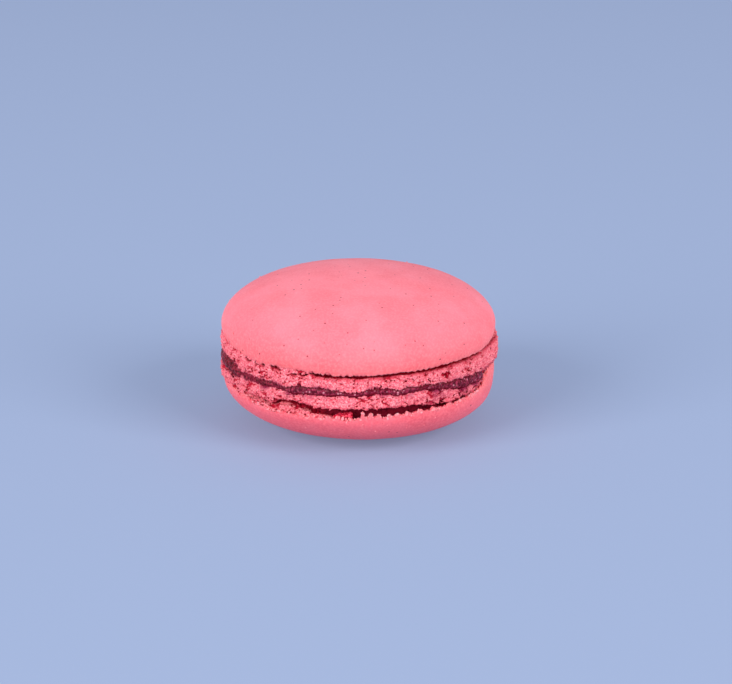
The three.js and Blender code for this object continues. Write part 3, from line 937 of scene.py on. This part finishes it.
upper_section = crust_section(UPPER_RADIUS, UPPER_EQUATOR - JAM_TOP, UPPER_CORE - JAM_TOP,
                              float(upper_rim.mean()), TOTAL_HEIGHT - JAM_TOP, RIM_TAPER)
upper_crust = make_crust("upper_crust", upper_lines, UPPER_RADIUS, upper_section, base=JAM_TOP,
                         side=1.0, equator=UPPER_EQUATOR - JAM_TOP, lean=-0.005, tear=1.3,
                         seed=5.0)
lower_section = crust_section(LOWER_RADIUS, JAM_BOTTOM - LOWER_EQUATOR, JAM_BOTTOM - LOWER_CORE,
                              float(lower_lip.mean()), JAM_BOTTOM, LIP_TAPER, RESTING_RADIUS)
lower_crust = make_crust("lower_crust", lower_lines, LOWER_RADIUS, lower_section,
                         base=JAM_BOTTOM, side=-1.0, shift=LOWER_SHIFT,
                         equator=JAM_BOTTOM - LOWER_EQUATOR, shear=LOWER_SHEAR, tear=2.1,
                         seed=15.0)


# ------------------------ crumbs on the crusts

def on_lower_dome(angle, height, out=0.0):
    """The place on the lower dome at an angle and a height above the floor."""
    flat = (RESTING_RADIUS / LOWER_RADIUS) ** DOME_FULLNESS
    below = (LOWER_EQUATOR - height) / (LOWER_EQUATOR / math.sqrt(1 - flat))
    radius = LOWER_RADIUS * (1 - max(below, 0.0) ** 2) ** (1 / DOME_FULLNESS) + out
    turn = math.radians(angle)
    lean = LOWER_SHIFT + LOWER_SHEAR * max(0.0, LOWER_EQUATOR - height)
    return radius * math.sin(turn) + lean, -radius * math.cos(turn), height


def on_upper_dome(angle, height, out=0.0):
    """The place on the upper dome at an angle and a height above the floor."""
    above = (height - UPPER_EQUATOR) / (TOTAL_HEIGHT - UPPER_EQUATOR)
    radius = UPPER_RADIUS * (1 - max(above, 0.0) ** 2) ** (1 / DOME_FULLNESS) + out
    turn = math.radians(angle)
    return radius * math.sin(turn), -radius * math.cos(turn), height


def lip_height(angle):
    """Height of the lower crust's torn edge above the floor."""
    return JAM_BOTTOM - lower_lip[round(angle * COLUMNS / 360) % COLUMNS]


def scatter_crumbs():
    """Places and radii of the crumbs: a row on the lower lip, and single ones on the domes."""
    chance = random.Random(7)
    crumbs = []
    for angle, last, spacing in LIP_CRUMBS:
        while angle < last:
            height = lip_height(angle) + chance.uniform(-0.35, 0.08)
            out = -LIP_TAPER - SKIN * chance.uniform(0.1, 0.7)
            crumbs.append((*on_lower_dome(angle, height, out), chance.uniform(0.12, 0.3)))
            angle += spacing * chance.uniform(0.4, 1.6)
    for angle, height, _ in LIP_TEETH:
        for _ in range(3):
            place = on_lower_dome(angle + chance.uniform(-0.5, 0.5),
                                  lip_height(angle) - height * chance.uniform(0.1, 0.5), -0.3)
            crumbs.append((*place, chance.uniform(0.14, 0.24)))
    for angle, height in LOWER_CRUMBS:
        crumbs.append((*on_lower_dome(angle, height, 0.03), chance.uniform(0.09, 0.15)))
    for angle, height in UPPER_CRUMBS:
        crumbs.append((*on_upper_dome(angle, height, 0.05), chance.uniform(0.12, 0.2)))
    return crumbs


def drops_of_jelly():
    """Places and radii of the drops that make up the speck of jelly."""
    chance = random.Random(3)
    drops = []
    foot, left_top, right_top = JELLY_HEIGHTS
    for _ in range(JELLY_DROPS):
        share = chance.random()
        angle = math.radians(JELLY_ANGLES[0] + (JELLY_ANGLES[1] - JELLY_ANGLES[0]) * share)
        radius = chance.uniform(*JELLY_REACH)
        top = left_top + (right_top - left_top) * share
        drops.append((radius * math.sin(angle), -radius * math.cos(angle),
                      chance.uniform(foot, top), chance.uniform(0.2, 0.34)))
    return drops


def grow_cloud(name, rows, tree, **values):
    """Grows a tree on a cloud of points from rows of place and radius."""
    rows = np.array(rows)
    return grow(name, point_mesh(name, rows[:, :3], girth=rows[:, 3]), tree, **values)


crumbs = grow_cloud("crumbs", scatter_crumbs(), crumb_tree(), material=meringue_crumbs(),
                    rough=0.3, spacing=0.25, seed=2.0)
jelly = grow_cloud("jelly_speck", drops_of_jelly(), jelly_tree(), material=raspberry_jelly(),
                   rough=0.2, spacing=0.3, voxel=0.07)
for holder in (upper_lines, lower_lines, jam_lines, upper_marks, lower_marks, no_marks):
    bpy.data.objects.remove(holder)

for piece, node, slot in ((upper_crust, "upper_shell", "meringue_shell"),
                          (upper_foot, "upper_shell", "meringue_shell"),
                          (jam, "jam_filling", "fruit_jam"),
                          (jelly, "jam_filling", "fruit_jam"),
                          (crumbs, "lower_shell", "meringue_shell"),
                          (lower_crust, "lower_shell", "meringue_shell"),
                          (lower_foot, "lower_shell", "meringue_shell")):
    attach(piece, "root")
    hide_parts(node)


# ------------------------ floor, light and camera

FLOOR_HALF = 0.6
CAMERA_AIM = Vector((1.23, 0.0, 13.16)) * MM
CAMERA_DISTANCE = 450 * MM
CAMERA_ELEVATION = 17.5
CAMERA_LENS = 134.26
LIGHT_DISTANCE = 1.6
LIGHT_AIM = Vector((0, 0, 0.01))
LIGHT_WIDTH = 1.0
# Name, azimuth, elevation and power of each soft box
SOFT_BOXES = (("left_soft_box", -48, 21, 27.0), ("right_soft_box", 50, 24, 24.0))


def towards(azimuth, elevation):
    """The direction from the macaron at an angle from the front and one above the floor."""
    turn, rise = math.radians(azimuth), math.radians(elevation)
    return Vector((math.sin(turn) * math.cos(rise), -math.cos(turn) * math.cos(rise),
                   math.sin(rise)))


def make_floor():
    """A wide plain table top."""
    mesh = bpy.data.meshes.new("floor")
    corners = [(FLOOR_HALF * east, FLOOR_HALF * north, 0)
               for east, north in ((-1, -1), (1, -1), (1, 1), (-1, 1))]
    mesh.from_pydata(corners, [], [(0, 1, 2, 3)])
    mesh.materials.append(matt_floor())
    floor = put("floor", mesh)


def make_camera():
    """A long lens that looks down a little from the front."""
    lens = bpy.data.cameras.new("camera")
    lens.lens = CAMERA_LENS
    lens.sensor_width = 36
    lens.sensor_fit = "HORIZONTAL"
    camera = put("camera", lens)
    back = towards(0, CAMERA_ELEVATION)
    camera.location = CAMERA_AIM + back * CAMERA_DISTANCE
    camera.rotation_euler = (-back).to_track_quat("-Z", "Y").to_euler()
    bpy.context.scene.camera = camera


def light_the_room():
    """A bright room with a soft box low on each side of the camera."""
    world = bpy.data.worlds.new("room")
    world.use_nodes = True
    sky = world.node_tree.nodes["Background"]
    sky.inputs["Color"].default_value = linear("#E4ECFF")
    sky.inputs["Strength"].default_value = 0.5
    bpy.context.scene.world = world
    for name, azimuth, elevation, power in SOFT_BOXES:
        lamp = bpy.data.lights.new(name, "AREA")
        lamp.size = LIGHT_WIDTH
        lamp.energy = power
        light = put(name, lamp)
        light.location = towards(azimuth, elevation) * LIGHT_DISTANCE
        facing = LIGHT_AIM - light.location
        light.rotation_euler = facing.to_track_quat("-Z", "Y").to_euler()


make_floor()
make_camera()
light_the_room()
bpy.context.scene.view_settings.view_transform = "Standard"
